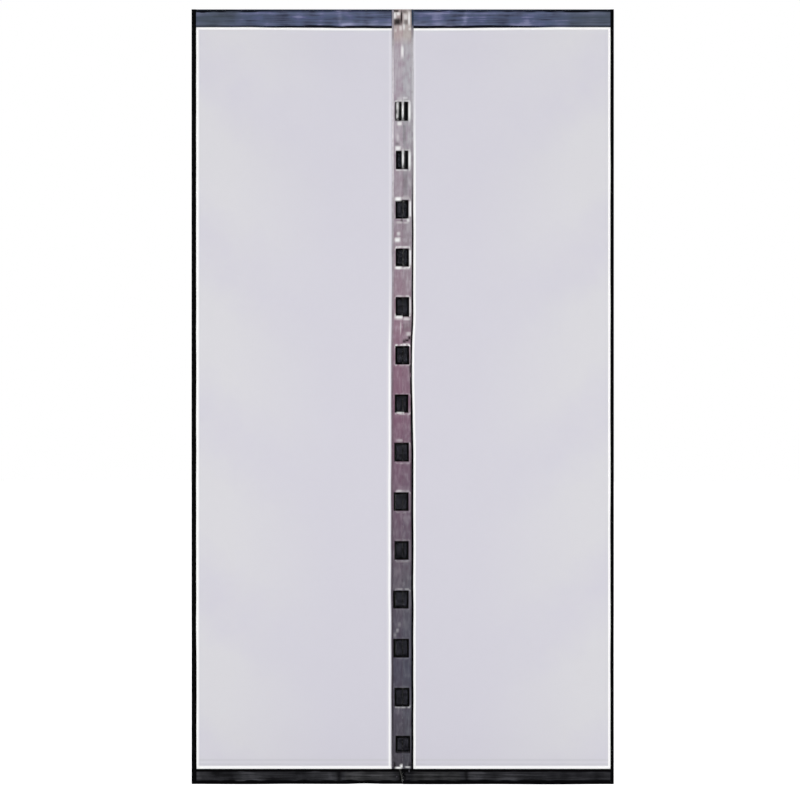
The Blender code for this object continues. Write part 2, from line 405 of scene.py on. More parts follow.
def swag_wave(u, z):
    """1 along the crest of each swag, 0 between: a cosine down the panel, whose crests droop from
    the outer edge towards the closing line as a hanging chain does."""
    droop = SWAG_DROOP * (1 - (u / half_width) ** 2)
    return 0.5 + 0.5 * np.cos(2 * math.pi * (z + droop - SWAG_CREST) / SWAG_PITCH)


def film_fade(u, z):
    """1 in the open film, easing to 0 before every sewn edge."""
    edges = (u - strip_edge, binding_inner - u, z - hem_top, header_bottom - z)
    return np.prod([smooth((gap - SWAG_MARGIN) / SWAG_FADE) for gap in edges], axis=0)


def pack_creases(u, z):
    """Height of the creases from packing: one upright line and a few level ones."""
    spacing = (header_bottom - hem_top) / PACK_FOLDS
    level = ridge((z - hem_top + spacing / 2) % spacing - spacing / 2, 6 * MM)
    return PACK_CREASE_HEIGHT * np.maximum(ridge(u - PACK_CREASE_U, 5 * MM), level)


def finer_at_ends(start, end, step, margin, fine_step):
    """Places along a side: even steps, with finer ones near both ends."""
    middle = np.linspace(start + margin, end - margin, round((end - start) / step))
    rim = np.arange(0, margin, fine_step)
    return np.concatenate([start + rim, middle, end - rim[::-1]])


def film_marks(word, side, u, z):
    """How far the film is pressed pale beside its seams, and how dark the painted shade of its
    level crease lines is.
    """
    edge = STRIP_EDGE[word] + seam_wander(side, z)
    low_edge = header_bottom - header_sag(u)
    gaps = (u - edge, half_width - BINDING_REACH[word] - u, z - hem_top - 2 * MM, low_edge - z)
    rims = [1 - smooth((gap - PRESSED + MM) / (2 * MM)) for gap in gaps]
    if side < 0:
        rims[0] = ridge(gaps[0] - LEFT_FOLD_OUT, 3.2 * MM)
    rims[0] = rims[0] * (0.2 + 0.8 * smooth((PRESSED_FROM[word] - z) / 0.4))
    pressed = np.max(rims, axis=0)
    return pressed, sum(ridge(z - hem_top - above, half) for above, half in HEM_LINES)


for word, side in SIDES:
    z, u = np.meshgrid(
        finer_at_ends(film_bottom, film_top, step=9 * MM, margin=60 * MM, fine_step=1.8 * MM),
        finer_at_ends(film_inner, film_outer, step=7 * MM, margin=16 * MM, fine_step=1.6 * MM),
        indexing="ij",
    )
    wave = swag_wave(u, z)
    slack = FILM_SLACK * ripples(u, z, 90 * MM, seed=4)
    forward = film_fade(u, z) * (SWAG_DEPTH * wave + slack + pack_creases(u, z))
    pressed, lines = film_marks(word, side, u, z)
    panel = sheet(
        f"{word}_frosted_panel",
        side,
        u,
        -forward,
        z,
        FILM,
        film_material,
        {"swell": wave, "pressed": pressed, "crease_shade": lines},
    )
    dress(panel, "frosted_film", f"{word}_film_panel")

# %% [markdown]
# ## Woven cloth
#
# Header and hem are plain-weave polyester. Real threads are about half a millimetre apart, finer
# than a pixel, so the weave is drawn at 2 mm, and slubs in the yarn give the long level streaks
# that show from a step away. Every band has a black rim: the raw edges are overlocked in black, and
# the folds and the pack crease are painted black as shade. One function makes both cloths. The
# mesh says where the cloth is greyed, where it is pale, which is wear in some places and painted
# sheen in others, and where it is black.

# %% Cloth material
WEAVE_PITCH = 2.0 * MM
# A Wave texture turns once every pi / 10 of its scaled coordinate
WAVE_TURN = math.pi / 10


def cloth_material(name, tones, rim, pale):
    """Plain weave with level slubs. tones are the yarn's shades, from where it is darkest."""
    material, tree, surface, place = start_material(name)
    stretched = add(tree, "Mapping", {"Vector": place, "Scale": (9, 9, 190)})
    slub = add(tree, "TexNoise", {"Vector": stretched.outputs[0], "Scale": 1.0, "Detail": 4.0})
    blotch = add(tree, "TexNoise", {"Vector": place, "Scale": 16.0, "Detail": 3.0})
    streak = add(tree, "Math", {0: slub.outputs["Fac"], 1: blotch.outputs["Fac"]}, operation="ADD")
    yarn = add(tree, "MapRange", {"Value": streak.outputs[0], "From Min": 0.76, "From Max": 1.24})
    places = np.linspace(0, 1, len(tones)).tolist()
    tone = add(tree, "ValToRGB", {"Fac": yarn.outputs["Result"]}, stops=list(zip(places, tones)))
    greyed = mix_marks(tree, tone.outputs["Color"], {"greyed": "#49515A"})
    # Pale marks: wear, and on the header a painted sheen and a painted highlight
    sheen_and_wear_share = add(tree, "Attribute", attribute_name="sheen_and_wear")
    patchy = add(
        tree,
        "MapRange",
        {"Value": streak.outputs[0], "From Min": 0.8, "From Max": 1.15, "To Min": 0.25},
    )
    patchy_sheen_and_wear = add(
        tree,
        "Math",
        {0: sheen_and_wear_share.outputs["Fac"], 1: patchy.outputs["Result"]},
        operation="MULTIPLY",
    )
    sheen_and_wear = add(
        tree,
        "Mix",
        {"Factor": patchy_sheen_and_wear.outputs[0], "A": greyed, "B": colour(pale)},
        data_type="RGBA",
    )
    # The black rim: painted shade along folds and creases, and black at cut edges and ends
    marked_tone = mix_marks(tree, sheen_and_wear.outputs["Result"], {"rim": rim})
    threads = [
        add(
            tree,
            "TexWave",
            {"Vector": place, "Scale": WAVE_TURN / WEAVE_PITCH, "Distortion": 0.6},
            bands_direction=direction,
        )
        for direction in ("X", "Z")
    ]
    weave = add(
        tree,
        "Math",
        {0: threads[0].outputs["Fac"], 1: threads[1].outputs["Fac"]},
        operation="MULTIPLY",
    )
    coat(tree, surface, marked_tone, weave.outputs[0], 0.5, 0.5 * MM, roughness=0.9)
    return material


header_material = cloth_material(
    "navy_polyester_weave",
    ["#34394B", "#494E64", "#4F5A74", "#555A7C", "#7B7E9F"],
    rim="#07090F",
    pale="#A2A6C8",
)
hem_material = cloth_material(
    "charcoal_polyester_weave",
    ["#141416", "#252528", "#303033", "#434347"],
    rim="#010102",
    pale="#6A6A64",
)
print("cloth materials ready")

# %% [markdown]
# ## The header bands
#
# Each header is a strip folded over the film's top edge, with its fold uppermost. Its low edge
# sags 3 mm towards the middle. Inside the pack crease a painted sheen lies above that edge, and the
# cloth greys towards its outer end. Its fold is painted black as shade. The rows of stitches pull
# shallow grooves into it, and it puckers between them.

# %% Header shape
HEADER_STEP = 2.6 * MM
# The black along the fold at the top is painted shade
HEADER_FOLD_SHADE = 6.2 * MM
HEADER_LOW_RIM = 3.2 * MM
HEADER_END_RIM = {"left": -1.0 * MM, "right": -3 * MM}
HEADER_START = {"left": 30.8 * MM, "right": 30.6 * MM}
LOOP_TAPE_HALF = 12.5 * MM
# A black rim ends softly, over these lengths from the fold and from the cut edge
RIM_EASE = 1.6 * MM
EDGE_EASE = 1.2 * MM
TURNED_IN = 8 * MM
TURNED_HEIGHT = 0.3 * MM
STITCH_DIP = 0.16 * MM
HEADER_WAVE = 0.4 * MM
header_height = top - header_bottom
header_rows = (
    header_height / 2 - LOOP_TAPE_HALF + 2 * MM,
    header_height / 2 + LOOP_TAPE_HALF - 2 * MM,
    header_height - 4 * MM,
)
header_gap = (low_high("right_header_band", 1)[1] - mid_y) - CLOTH / 2


def sewn_relief(u, reach, rows, seed):
    """How far sewn cloth stands off: grooves along the stitch rows, and puckers beside them."""
    groove = sum(ridge(reach - row, 1.0 * MM) for row in rows)
    nearness = sum(ridge(reach - row, 6 * MM) for row in rows)
    pucker = ripples(u, reach * 0.4, 15 * MM, seed) * np.minimum(nearness, 1)
    return STITCH_DIP * (1 + pucker) - STITCH_DIP * np.minimum(groove, 1)


def turned_edge(reach, height):
    """How far the cut edge stands off where it is turned in: a step before the strip's end."""
    return TURNED_HEIGHT * smooth((reach - height + TURNED_IN) / (1.5 * MM))


def header_offset(u, reach):
    """Half gap of the header's middle surface at a point, with its turned lower edge."""
    relief = sewn_relief(u, reach, header_rows, seed=11)
    return header_gap + turned_edge(reach, header_height) + relief


def header_drop(u, reach):
    """How far a point hangs below its plain place: the sag, and a slow wave."""
    wave = HEADER_WAVE * ripples(u, 0 * u, 140 * MM, seed=5, waves=6)
    return header_sag(u) * smooth(reach / header_height) + wave * reach / header_height


def header_marks(side, u, reach, end):
    """The rims are black along the fold, the low edge and the inner end; along the fold the black
    is painted shade, lighter on the fold's very top. The pale marks are the most of three: a
    painted sheen above the low edge, wear under the fold, and a pale line along the pack crease
    that is partly wear and partly a painted highlight."""
    uneven = 1.1 * MM * ripples(side * u, 0 * u, 60 * MM, seed=13, waves=8)
    outer = smooth((u - 330 * MM) / (120 * MM))
    rim = 1 - smooth((reach - HEADER_FOLD_SHADE - outer * MM - uneven) / RIM_EASE + 0.5)
    rim = rim * (0.4 + 0.6 * smooth((reach - MM) / RIM_EASE)) * (0.8 + 0.2 * outer)
    low_rim = HEADER_LOW_RIM + 0.95 * header_sag(u) + 0.3 * uneven
    low_rim = low_rim + 1.1 * MM * smooth((u - 170 * MM) / (50 * MM))
    low_edge = smooth((reach - header_height + low_rim) / EDGE_EASE + 0.5)
    rim = np.maximum(rim, low_edge * (1 - 0.4 * outer))
    rim = np.maximum(rim, 1 - smooth((u - end) / (2 * MM)))
    middle = smooth((PACK_CREASE_U - u) / (6 * MM))
    patchy = np.clip(0.8 + 0.4 * ripples(side * u, reach, 60 * MM, seed=14), 0.3, 1.2)
    # A painted sheen above the low edge, strongest inside the pack crease
    low_edge_sheen = smooth((reach - 16 * MM) / (28 * MM)) ** 2.5 * (0.13 + 0.52 * middle) * patchy
    top_wear = 0.18 * ridge(reach - 12.5 * MM, 4 * MM)
    # Along the pack crease a pale line, partly wear and partly a painted highlight
    crease_u = u - PACK_CREASE_U - 1.5 * MM * ripples(reach, 0 * u, 25 * MM, seed=15, waves=4)
    crease = 0.3 * ridge(crease_u, 6.5 * MM) * smooth((reach - 5 * MM) / (5 * MM))
    sheen_and_wear = np.max([low_edge_sheen, top_wear, crease], axis=0)
    return {"rim": rim, "sheen_and_wear": sheen_and_wear, "greyed": 0.75 * smooth((u - 400 * MM) / (130 * MM))}


for word, side in SIDES:
    across = across_fold(header_height - CLOTH / 2, header_gap, leaf_steps=24)
    start = HEADER_START[word]
    length_steps = int((header_outer - start) / HEADER_STEP)
    u, across = np.meshgrid(np.linspace(start, header_outer, length_steps), across, indexing="ij")
    reach, leaf = fold(across, header_gap)
    band = sheet(
        f"{word}_header_cloth",
        side,
        u,
        leaf * header_offset(u, reach),
        top - CLOTH / 2 - reach - header_drop(u, reach),
        CLOTH,
        header_material,
        header_marks(side, u, reach, start + HEADER_END_RIM[word]),
    )
    dress(band, "header_cloth", f"{word}_header_band")

# %% [markdown]
# ## The bottom hems
#
# Each hem is a strip folded round a flat steel bar. Above the bar it closes on the film, except
# beside the closing line, where the sleeve and its tapes run into it. The fold hangs below the bar
# in a slow wave.

# %% Hem shape
HEM_STEP = 2.6 * MM
HEM_START = 0.06 * MM
HEM_RIM_TOP = 8.4 * MM
# The black along the fold at the bottom is painted shade
HEM_FOLD_SHADE = 9.3 * MM
HEM_END_RIM = {"left": 8 * MM, "right": 7 * MM}
HEM_CORNER = 1.5 * MM
HEM_WAVE = 2.6 * MM
POCKET_REACH = 13.3 * MM
POCKET_TAPER = 6 * MM
MOUTH_EASE = 5 * MM
hem_height = hem_top - bottom
hem_rows = (POCKET_REACH + POCKET_TAPER, hem_height - 4 * MM)
hem_gap = (low_high("right_bottom_hem", 1)[1] - mid_y) - CLOTH / 2
film_gap = FILM / 2 + CLEARANCE + CLOTH / 2
sleeve_gap = film_gap + VINYL + CLEARANCE


def hem_offset(u, reach):
    """Half gap of the hem's middle surface: wide at the bar, then closing on film or sleeve."""
    mouth = film_gap + (sleeve_gap - film_gap) * (1 - smooth((u - strip_edge) / MOUTH_EASE))
    closing = smooth((reach - POCKET_REACH) / POCKET_TAPER)
    relief = turned_edge(reach, hem_height) + sewn_relief(u, reach, hem_rows, seed=12)
    return hem_gap + (mouth - hem_gap) * closing + relief


def hem_drop(side, u, reach):
    """How far the fold hangs below the bar: a slow wave, less towards the middle on the left."""
    wave = 0.5 + 0.5 * ripples(side * u, 0 * u, 230 * MM, seed=21, waves=5)
    level = 0.5 + 0.5 * np.clip(wave, 0, 1)
    if side < 0:
        lift = 0.45 * smooth((420 * MM - u) / (100 * MM))
        level = level * (1 - np.maximum(ridge(u - 108 * MM, 55 * MM), lift))
    return HEM_WAVE * level * (1 - smooth(reach / (10 * MM)))


def hem_marks(word, side, u, reach):
    """The rims are black along the fold, the cut edge, the pack crease and the end at the closing
    line, and a little darker within 50 mm of that end; along the fold and in the pack crease the
    black is painted shade. The wear is a paler stretch inside the pack crease, and the left one's
    frayed end."""
    uneven = MM * ripples(side * u, 0 * u, 50 * MM, seed=22, waves=8)
    rim = 1 - smooth((reach - HEM_FOLD_SHADE - uneven) / RIM_EASE + 0.5)
    top_rim = HEM_RIM_TOP + 0.6 * uneven
    rim = np.maximum(rim, smooth((reach - hem_height + top_rim) / EDGE_EASE + 0.5))
    # Painted shade in the pack crease
    rim = np.maximum(rim, 0.8 * ridge(u - PACK_CREASE_U - 4 * MM, 7 * MM))
    end_rim = 1 - smooth((u - HEM_END_RIM[word]) / (4 * MM))
    if side > 0:
        end_rim = end_rim * np.clip(0.9 - 0.4 * ripples(u, reach, 9 * MM, seed=23), 0, 1)
    rim = np.max([rim, end_rim, 0.35 * (1 - smooth((u - 50 * MM) / (15 * MM)))], axis=0)
    # The left one's cut end is frayed, and its pale threads curl outwards on their way up
    curl = u - MM - 8 * MM * (reach / hem_height) ** 2
    frayed = ridge(curl, 1.7 * MM) * smooth((reach - 4 * MM) / (4 * MM)) * (side < 0)
    rim = rim * (1 - frayed)
    sheen_and_wear = smooth((PACK_CREASE_U - 10 * MM - u) / (6 * MM)) * smooth((u - 24 * MM) / (10 * MM))
    return {"rim": rim, "sheen_and_wear": np.maximum(0.1 * sheen_and_wear, frayed)}


for word, side in SIDES:
    across = across_fold(hem_height - CLOTH / 2, HEM_CORNER, leaf_steps=22)
    length_steps = int((hem_outer - HEM_START) / HEM_STEP)
    u, across = np.meshgrid(np.linspace(HEM_START, hem_outer, length_steps), across, indexing="ij")
    reach, leaf = fold(across, HEM_CORNER)
    hem = sheet(
        f"{word}_hem_cloth",
        side,
        u,
        leaf * hem_offset(u, reach),
        bottom + CLOTH / 2 + reach - hem_drop(side, u, reach),
        CLOTH,
        hem_material,
        hem_marks(word, side, u, reach),
    )
    dress(hem, "hem_cloth", f"{word}_bottom_hem")

# %% [markdown]
# ## The side bindings
#
# A black ribbed tape is folded over each outer edge. It lies on the film for most of its length
# and steps out over the ends of the header and the hem.

# %% Binding material
binding_material, tree, surface, place = start_material("black_grosgrain_tape")
# Grosgrain ribs run across the tape, one every 1.2 mm, drawn at 2 mm
ribs = add(
    tree,
    "TexWave",
    {"Vector": place, "Scale": WAVE_TURN / (2 * MM), "Distortion": 0.3},
    bands_direction="Z",
)
lint = add(tree, "TexNoise", {"Vector": place, "Scale": 120.0, "Detail": 4.0})
black = add(
    tree, "ValToRGB", {"Fac": lint.outputs["Fac"]}, stops=[(0.45, "#020203"), (0.8, "#0B0B0D")]
)
coat(tree, surface, black.outputs["Color"], ribs.outputs["Fac"], 0.6, 0.4 * MM, roughness=0.9)
print("binding material ready")

# %% Binding shape
BINDING_STEP = 3.2 * MM
BINDING_CORNER = 0.5 * MM
BINDING_EASE = 6 * MM
BINDING_DRIFT = 0.25 * MM
BINDING_PUCKER = 0.1 * MM
# Beside the hem the left one covers more, from this height down
HEM_DRIFT, HEM_DRIFT_Z = 1.1 * MM, -1.72
half_leaf = BINDING / 2
over_film = FILM / 2 + CLEARANCE + half_leaf
over_header = over_film + CLOTH + CLEARANCE
over_bar = hem_gap + CLOTH / 2 + CLEARANCE + half_leaf


def binding_offset(z):
    """Half gap of the binding's middle surface along its height: hem pocket, hem, film, header."""
    above_bar = smooth((z - bottom - POCKET_REACH) / POCKET_TAPER)
    above_hem = smooth((z - hem_top - CLEARANCE) / BINDING_EASE)
    at_header = smooth((z - header_bottom + CLEARANCE + BINDING_EASE) / BINDING_EASE)
    offset = over_bar + (over_header - over_bar) * above_bar
    offset = offset + (over_film - over_header) * above_hem
    return offset + (over_header - over_film) * at_header


for word, side in SIDES:
    across = across_fold(BINDING_REACH[word] - half_leaf, BINDING_CORNER, leaf_steps=5)
    length_steps = int((top - bottom) / BINDING_STEP)
    z, across = np.meshgrid(np.linspace(bottom, top, length_steps), across, indexing="ij")
    reach, leaf = fold(across, BINDING_CORNER)
    drift = BINDING_DRIFT * ripples(z, 0 * z, 160 * MM, seed=31 + side, waves=6)
    drift = drift + HEM_DRIFT * smooth((HEM_DRIFT_Z - z) / 0.15) * (side < 0)
    edge = smooth(reach / BINDING_REACH[word])
    pucker = BINDING_PUCKER * ripples(z, reach, 14 * MM, seed=33)
    tape = sheet(
        f"{word}_binding_tape",
        side,
        half_width - half_leaf - reach - drift * edge,
        leaf * (binding_offset(z) + pucker * edge),
        z,
        BINDING,
        binding_material,
    )
    dress(tape, "binding_tape", f"{word}_side_binding")

# %% [markdown]
# ## The magnet sleeves
#
# The sleeve is clear vinyl, folded round the magnets with its fold on the closing line and welded
# across above and below each one. The vinyl is pressed flat at the welds, stands off over the
# magnets and hangs a little slack between them. The thin white lines are the vinyl whitened where
# it is welded, together with painted highlights and glints on its welds and folds. Its colour falls
# from warm grey at the top through mauve to slate: a painted view of what lies behind the clear
# vinyl, seen through it. The black round the pockets is painted shade.

# %% Vinyl material
# Shares of the height, from the foot up, and the painted tint there, the view of what lies behind
# the clear vinyl
VINYL_PAINTED_VIEW = [
    (0.02, "#4A4950"),
    (0.09, "#5C5B65"),
    (0.15, "#535360"),
    (0.26, "#66626B"),
    (0.36, "#776675"),
    (0.5, "#8C6F80"),
    (0.6, "#9F8A96"),
    (0.71, "#A1979F"),
    (0.9, "#B8B5BC"),
    (0.954, "#B7B2B9"),
    (0.964, "#BEB4B1"),
]


def tint_by_height(tree, place, stops):
    """Three nodes: the coordinates apart, the height's share from foot to top, and its tint."""
    apart = add(tree, "SeparateXYZ", {"Vector": place})
    share = add(
        tree, "MapRange", {"Value": apart.outputs["Z"], "From Min": bottom, "From Max": top}
    )
    tint = add(tree, "ValToRGB", {"Fac": share.outputs["Result"]}, stops=stops)
    return apart, share, tint


strip_material, tree, surface, place = start_material("clear_vinyl_painted_view")
apart, height_share, tint = tint_by_height(tree, place, VINYL_PAINTED_VIEW)
# Blotches of about 25 mm where the two layers of vinyl cling together, and slanting streaks
slanted = add(tree, "Mapping", {"Vector": place, "Rotation": (0, 0.5, 0), "Scale": (140, 140, 34)})
streaks = add(tree, "TexNoise", {"Vector": slanted.outputs[0], "Scale": 1.0, "Detail": 3.0})
blotches = add(tree, "TexNoise", {"Vector": place, "Scale": 42.0, "Detail": 3.0})
mottle = add(tree, "Math", {0: streaks.outputs["Fac"], 1: blotches.outputs["Fac"]}, operation="ADD")
rosy = add(
    tree,
    "MapRange",
    {"Value": mottle.outputs[0], "From Min": 0.95, "From Max": 1.35, "To Max": 0.6},
)
blush = add(
    tree,
    "Mix",
    {"Factor": rosy.outputs["Result"], "A": tint.outputs["Color"], "B": colour("#DCC3CF")},
    data_type="RGBA",
    blend_type="MULTIPLY",
)
# The clinging blotches fade towards the foot
cling = add(
    tree,
    "MapRange",
    {
        "Value": height_share.outputs["Result"],
        "From Min": 0.2,
        "From Max": 0.65,
        "To Min": 0.07,
        "To Max": 0.28,
    },
)
milky = add(
    tree,
    "MapRange",
    {
        "Value": mottle.outputs[0],
        "From Min": 0.98,
        "From Max": 0.72,
        "To Max": cling.outputs["Result"],
    },
)
clouded = add(
    tree,
    "Mix",
    {"Factor": milky.outputs["Result"], "A": blush.outputs["Result"], "B": colour("#D5CFD4")},
    data_type="RGBA",
)
# The left half is a little rosier and the right half a little greyer
sideways = add(
    tree, "MapRange", {"Value": apart.outputs["X"], "From Min": -2 * MM, "From Max": 4 * MM}
)
halves = add(
    tree,
    "Mix",
    {"Factor": sideways.outputs["Result"], "A": colour("#FDF7FB"), "B": colour("#FDFFFF")},
    data_type="RGBA",
)
sided = add(
    tree,
    "Mix",
    {"Factor": 1.0, "A": clouded.outputs["Result"], "B": halves.outputs["Result"]},
    data_type="RGBA",
    blend_type="MULTIPLY",
)
# Painted shade black in the pockets, white at welds with painted highlights and glints, and nearly
# clear over the magnets
VINYL_MARKS = {"shaded": "#010101", "weld_white_and_glints": "#FFFFFF", "clear": "#1C1D22"}
marked = mix_marks(tree, sided.outputs["Result"], VINYL_MARKS)
clear_share = add(tree, "Attribute", attribute_name="clear")
solid_share = add(
    tree, "MapRange", {"Value": clear_share.outputs["Fac"], "To Min": 0.88, "To Max": 0.12}
)
coat(tree, surface, marked, mottle.outputs[0], 0.2, 1.0 * MM, roughness=0.16, gloss=0.03)
fill(tree, surface, {"Alpha": solid_share.outputs["Result"], "IOR": 1.5})
print("vinyl material ready")

# %% Pockets and welds
SLEEVE_CORNER = 0.3 * MM
SLEEVE_GAP = 0.01 * MM
SLEEVE_REACH = {"left": 31.6 * MM, "right": 29.0 * MM}
RAMP = 3 * MM
WELD_OFF = 4.6 * MM
WELD_HALF = 1.9 * MM
WELD_REACH = 21.8 * MM
WELD_POWER = 8
lap_gap = FILM / 2 + CLEARANCE + VINYL / 2
magnet_gap = (magnet_high - mid_y) + CLEARANCE + VINYL / 2
# Each pocket from the top one down. The first four numbers say where its dark opening ends, in
# millimetres: out from the closing line on the left and on the right, and above and below the
# magnet's middle. The last four say how white the weld shows above, below and on the right of it,
# where weld whitening and a painted highlight are drawn as one, and how much painted gleam the
# vinyl shows beside the closing line.
POCKETS = (
    (21.6, 15.8, 26.6, 28.4, 0.6, 0.3, 0.35, 0.0),
    (19.6, 16.0, 25.8, 26.4, 0.5, 0.55, 0.35, 0.0),
    (20.6, 16.4, 24.8, 29.0, 0.5, 0.15, 1.0, 0.1),
    (20.2, 17.4, 25.8, 25.6, 0.8, 0.8, 1.0, 0.12),
    (20.4, 18.4, 26.4, 29.8, 0.6, 0.9, 0.7, 0.05),
    (21.2, 18.6, 26.6, 26.6, 1.0, 0.35, 0.1, 0.04),
    (22.8, 16.2, 27.4, 24.6, 0.2, 0.4, 0.03, 0.03),
    (24.2, 17.6, 29.4, 24.8, 0.35, 0.2, 0.08, 0.02),
    (26.0, 16.6, 27.2, 25.8, 0.35, 0.15, 0.08, 0.025),
    (23.6, 16.8, 27.4, 25.8, 0.15, 0.2, 0.04, 0.01),
    (28.4, 17.0, 25.6, 25.6, 0.25, 0.06, 0.05, 0.02),
    (27.6, 17.8, 27.0, 26.0, 0.06, 0.1, 0.03, 0.01),
    (23.6, 19.4, 26.8, 27.0, 0.1, 0.4, 0.02, 0.01),
    (20.6, 21.5, 28.5, 19.0, 0.04, 0.0, 0.0, 0.0),
)
# Width and ease of the painted shade round each pocket's opening
POCKET_RIM, POCKET_RIM_EASE = 4.6 * MM, 2 * MM
POCKET_EDGE_EASE = 0.8 * MM
POCKET_SPARE = 1.5 * MM
CLEAR_EASE = 0.6 * MM
# Lines along the right-hand bars, by their distance out and half width: the white weld, with its
# painted highlight, and the painted gleam
SIDE_WELD_OUT, SIDE_WELD_HALF = 21.4 * MM, 3 * MM
GLEAM_OUT, GLEAM_HALF = 2.6 * MM, 3.4 * MM


def over_magnets(u, z, spare, ease):
    """1 over a magnet and as far as spare past its edges, then easing to 0."""
    beside = smooth((magnet_outer + spare + ease - u) / ease)
    cover = np.zeros(u.shape)
    for low, high in magnet_spans:
        level = smooth((z - low + spare + ease) / ease)
        level = level * smooth((high + spare + ease - z) / ease)
        cover = np.maximum(cover, level * beside)
    return cover


def weld_lines(side, u, z):
    """Three arrays: 1 on the weld above and below each magnet, how white it shows, which is
    whitening and a painted highlight together, and the painted gleam beside the closing line. The
    weld is a
    superellipse: the sum of the eighth powers of its two shares is 1."""
    uneven = np.clip(0.9 + 0.7 * ripples(side * u, z, 12 * MM, seed=44), 0.15, 1.15)
    welds, weld_whites_and_glints, gleams = np.zeros(u.shape), np.zeros(u.shape), np.zeros(u.shape)
    for (low, high), pocket in zip(magnet_spans, POCKETS):
        above, below, beside, gleam = pocket[4:]
        half = (high - low) / 2 + WELD_OFF
        level = (z - (low + high) / 2) / half
        ring = ((u / WELD_REACH) ** WELD_POWER + np.abs(level) ** WELD_POWER) ** (1 / WELD_POWER)
        line = ridge((ring - 1) * half, WELD_HALF)
        upper, lower = smooth((level - 0.6) / 0.3), smooth((-level - 0.6) / 0.3)
        white = (above * upper + below * lower) * line * uneven
        if side > 0:
            level_part = 1 - upper - lower
            side_line = ridge(u - SIDE_WELD_OUT, SIDE_WELD_HALF)
            white = np.maximum(white, beside * level_part * side_line)
            gleam_line = ridge(u - GLEAM_OUT, GLEAM_HALF)
            gleams = np.maximum(gleams, gleam * level_part * gleam_line)
        welds = np.maximum(welds, line * (upper + lower))
        weld_whites_and_glints = np.maximum(weld_whites_and_glints, white)
    return welds, weld_whites_and_glints, gleams


def pocket_opening(side, u, z):
    """Two arrays: 1 inside each pocket's opening, and 1 on its rim, painted shade where the vinyl
    bends.
    """
    opening, rim = np.zeros(u.shape), np.zeros(u.shape)
    for (low, high), pocket in zip(magnet_spans, POCKETS):
        out = pocket[0 if side < 0 else 1] * MM
        level = z - (low + high) / 2
        inside = np.min([out - u, pocket[2] * MM - level, level + pocket[3] * MM], axis=0)
        pocket_share = smooth(inside / POCKET_EDGE_EASE + 0.5)
        opening = np.maximum(opening, pocket_share)
        near_edge = 1 - smooth((inside - POCKET_RIM) / POCKET_RIM_EASE)
        rim = np.maximum(rim, pocket_share * near_edge)
    # The two sleeves' folds meet on the closing line, where no light comes through
    rim = np.maximum(rim, opening * (1 - smooth((u - MM) / MM)))
    return opening, rim


print(f"{len(POCKETS)} pockets, vinyl {magnet_gap / MM:.2f} mm off the middle over them")

# %% Creases and glints
# Side, distance out, distance below the top, half width, half height and strength, in millimetres
HIGHLIGHT_PATCHES = (
    # painted highlights on the crumpled end inside the header
    (-1, 25, 18, 7, 9, 0.75),
    (-1, 12, 13, 5, 4.5, 0.7),
    (-1, 31, 32, 4, 8, 0.5),
    (1, 18, 26, 3.2, 20, 0.75),
    (1, 8, 22, 6, 8, 0.45),
    (-1, 6, 54, 4, 7, 0.5),
    (1, 3, 50, 3, 8, 0.6),
    (1, 20, 56, 4, 4, 0.45),
    (-1, 20, 60, 3, 5, 0.35),
    # the seam's glint, and the bars of light over the first two magnets
    (-1, 1.4, 119, 3.4, 17, 0.85),
    (1, 0.4, 121, 2.2, 17, 0.9),
    (-1, 14.6, 276, 3.4, 12, 0.9),
    (-1, 14.2, 290, 2.6, 22, 0.7),
    (-1, 15.0, 303, 3.2, 8, 0.85),
    (-1, 0.0, 286, 3.2, 25.5, 1.0),
    (1, 0.0, 286, 3.6, 25.5, 1.0),
    (1, 18.9, 290, 3.3, 27, 0.9),
    (-1, 0.0, 423, 2.8, 24.5, 1.0),
    (1, 0.0, 423, 4.2, 24.5, 1.0),
    (1, 19.4, 427, 3.3, 26, 0.95),
    (-1, 7, 254.5, 9, 2.6, 0.6),
    (1, 7, 253, 7, 2.6, 0.5),
    # painted highlights on the folds round the next magnets
    (-1, 9, 325, 7, 5.5, 0.8),
    (-1, 14, 366, 4, 10, 0.3),
    (-1, 13, 395, 8, 6, 0.9),
    (-1, 13, 539, 9, 5.5, 1.0),
    (1, 9, 534, 9, 3.6, 0.25),
    (1, 9, 606, 7, 2.6, 0.35),
    (1, 15.5, 599, 4, 5, 0.6),
    (-1, 10, 605, 9, 3, 0.35),
    (-1, 12, 637, 5, 5, 0.5),
    (-1, 15, 655, 8, 6, 0.9),
    (-1, 12, 734.5, 10, 4, 1.0),
    (-1, 10, 875.5, 13, 4.8, 1.0),
    (1, 11, 878.2, 10, 2.5, 1.0),
    (-1, 6, 905, 1.4, 17, 0.6),
    (1, 19, 922, 9, 5.5, 0.45),
    (1, 9, 951.5, 11, 2.0, 0.6),
    (-1, 9, 1146.5, 9, 2.6, 0.75),
    (1, 1, 1146.5, 3, 2.6, 0.65),
    (-1, 8, 1226, 10, 3, 0.4),
    (-1, 10, 1367.5, 9, 3, 0.55),
    # painted highlights on slack folds near the foot
    (-1, 22, 1778, 4, 5, 0.14),
    (-1, 15, 1764, 4, 5, 0.22),
    (-1, 9, 1748, 4, 6, 0.12),
    (-1, 12, 2155, 9, 3.1, 1.0),
    (-1, 4, 2150, 4, 4.5, 0.9),
    (1, 14, 2153, 7, 2.4, 0.6),
)
